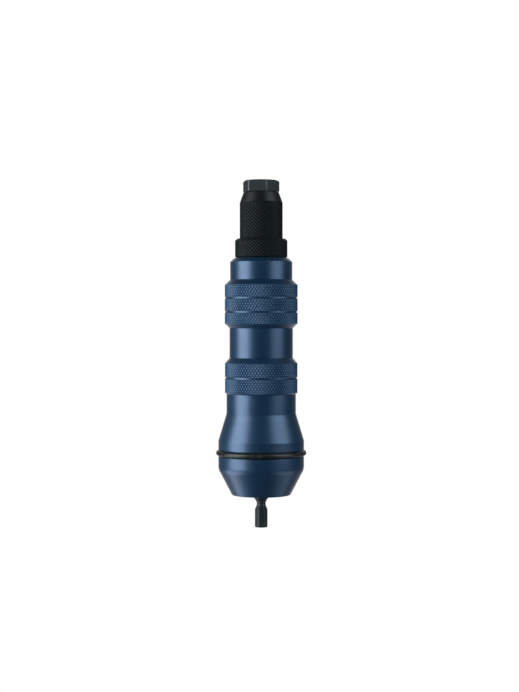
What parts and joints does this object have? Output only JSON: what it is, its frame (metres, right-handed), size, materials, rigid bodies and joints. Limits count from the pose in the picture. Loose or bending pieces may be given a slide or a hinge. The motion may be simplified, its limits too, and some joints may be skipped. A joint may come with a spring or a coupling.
{
  "type": "riveting drill adapter",
  "caption": "Slim attachment that lets a power drill set blind rivets: hex shank, bell-shaped anodised housing, screw-driven pulling jaws inside and a hexagonal nosepiece.",
  "frame": {"origin": "centre of the hex shank's end face, on the tool's axis", "axes": "+Z runs along the tool's axis from the shank to the nosepiece; +X points to the anti-rotation pin, and the picture looks along +Y"},
  "size_m": [0.0504, 0.0502, 0.192],
  "materials": {
    "anodised_shell": "satin dark-blue anodised aluminium, turned, with knurled bands",
    "black_steel": "black oxide steel, satin",
    "ground_steel": "ground bearing steel",
    "spring_steel": "hardened spring steel",
    "cage_bronze": "turned bronze",
    "seal_rubber": "black nitrile rubber, satin"
  },
  "bodies": {
    "housing": {"end_cap": "anodised_shell", "seam_o_ring": "seal_rubber", "rear_housing": "anodised_shell", "front_housing": "anodised_shell", "anti_rotation_pin": "ground_steel", "bearing_retaining_ring": "spring_steel", "rear_bearing_outer_race": "ground_steel", "thrust_washer_front": "ground_steel"},
    "drive": {"drive_spindle": "black_steel", "lead_screw": "ground_steel", "disc_spring_1": "spring_steel", "disc_spring_2": "spring_steel", "thrust_washer_rear": "ground_steel", "rear_bearing_inner_race": "ground_steel", "clutch_ball_1": "ground_steel", "clutch_ball_2": "ground_steel", "clutch_ball_3": "ground_steel", "clutch_ball_4": "ground_steel", "clutch_ball_5": "ground_steel", "clutch_ball_6": "ground_steel"},
    "clutch_plate": {"clutch_driven_plate": "ground_steel"},
    "rear_cage": {"rear_bearing_cage": "cage_bronze", "rear_bearing_ball_1": "ground_steel", "rear_bearing_ball_2": "ground_steel", "rear_bearing_ball_3": "ground_steel", "rear_bearing_ball_4": "ground_steel", "rear_bearing_ball_5": "ground_steel", "rear_bearing_ball_6": "ground_steel", "rear_bearing_ball_7": "ground_steel"},
    "thrust_cage": {"thrust_cage": "cage_bronze", "thrust_ball_1": "ground_steel", "thrust_ball_2": "ground_steel", "thrust_ball_3": "ground_steel", "thrust_ball_4": "ground_steel", "thrust_ball_5": "ground_steel", "thrust_ball_6": "ground_steel", "thrust_ball_7": "ground_steel", "thrust_ball_8": "ground_steel"},
    "pull": {"pull_sleeve": "black_steel", "jaw_case": "black_steel", "spring_seat": "ground_steel", "jaw_spring": "spring_steel"},
    "pusher": {"jaw_pusher": "ground_steel"},
    "jaw_1": {"jaw_1": "black_steel"},
    "jaw_2": {"jaw_2": "black_steel"},
    "jaw_3": {"jaw_3": "black_steel"},
    "nose": {"nose_sleeve": "black_steel"},
    "lock_ring": {"lock_ring": "black_steel"},
    "nosepiece": {"nosepiece": "black_steel"}
  },
  "joints": [
    {"name": "spindle_spin", "type": "hinge", "parent": "housing", "child": "drive", "pos_m": [0, 0, 0], "axis": [0, 0, 1], "range_deg": [0, 2880]},
    {"name": "clutch_lift", "type": "slide", "parent": "drive", "child": "clutch_plate", "axis": [0, 0, 1], "range_m": [0, 0.0012], "stiffness_N_per_m": 2000, "deforming": ["disc_spring_1", "disc_spring_2"]},
    {"name": "rear_cage_spin", "type": "hinge", "parent": "housing", "child": "rear_cage", "pos_m": [0, 0, 0], "axis": [0, 0, 1], "range_deg": [0, 1060]},
    {"name": "thrust_cage_spin", "type": "hinge", "parent": "housing", "child": "thrust_cage", "pos_m": [0, 0, 0], "axis": [0, 0, 1], "range_deg": [0, 1440]},
    {"name": "pull_slide", "type": "slide", "parent": "housing", "child": "pull", "axis": [0, 0, -1], "range_m": [0, 0.016]},
    {"name": "pusher_slide", "type": "slide", "parent": "pull", "child": "pusher", "axis": [0, 0, 1], "range_m": [0, 0.002], "deforming": ["jaw_spring"]},
    {"name": "jaw_1_slide", "type": "slide", "parent": "pull", "child": "jaw_1", "axis": [-0.1736, 0, 0.9848], "range_m": [0, 0.002]},
    {"name": "jaw_2_slide", "type": "slide", "parent": "pull", "child": "jaw_2", "axis": [0.0868, -0.1504, 0.9848], "range_m": [0, 0.002]},
    {"name": "jaw_3_slide", "type": "slide", "parent": "pull", "child": "jaw_3", "axis": [0.0868, 0.1504, 0.9848], "range_m": [0, 0.002]},
    {"name": "nose_sleeve_turn", "type": "hinge", "parent": "housing", "child": "nose", "pos_m": [0, 0, 0.16], "axis": [0, 0, 1], "range_deg": [0, 4680]},
    {"name": "lock_ring_turn", "type": "hinge", "parent": "nose", "child": "lock_ring", "pos_m": [0, 0, 0.155], "axis": [0, 0, 1], "range_deg": [0, 360]},
    {"name": "nosepiece_turn", "type": "hinge", "parent": "nose", "child": "nosepiece", "pos_m": [0, 0, 0.1857], "axis": [0, 0, 1], "range_deg": [0, 3600]}
  ],
  "couplings": [
    {"joint": "rear_cage_spin", "follows": "spindle_spin", "ratio": 0.3678},
    {"joint": "thrust_cage_spin", "follows": "spindle_spin", "ratio": 0.5},
    {"joint": "pull_slide", "follows": "spindle_spin", "m_per_rad": 0.00031831},
    {"joint": "pusher_slide", "follows": "spindle_spin", "m_per_rad": 0.000039176},
    {"joint": "jaw_1_slide", "follows": "spindle_spin", "m_per_rad": 0.00003978},
    {"joint": "jaw_2_slide", "follows": "spindle_spin", "m_per_rad": 0.00003978},
    {"joint": "jaw_3_slide", "follows": "spindle_spin", "m_per_rad": 0.00003978}
  ]
}
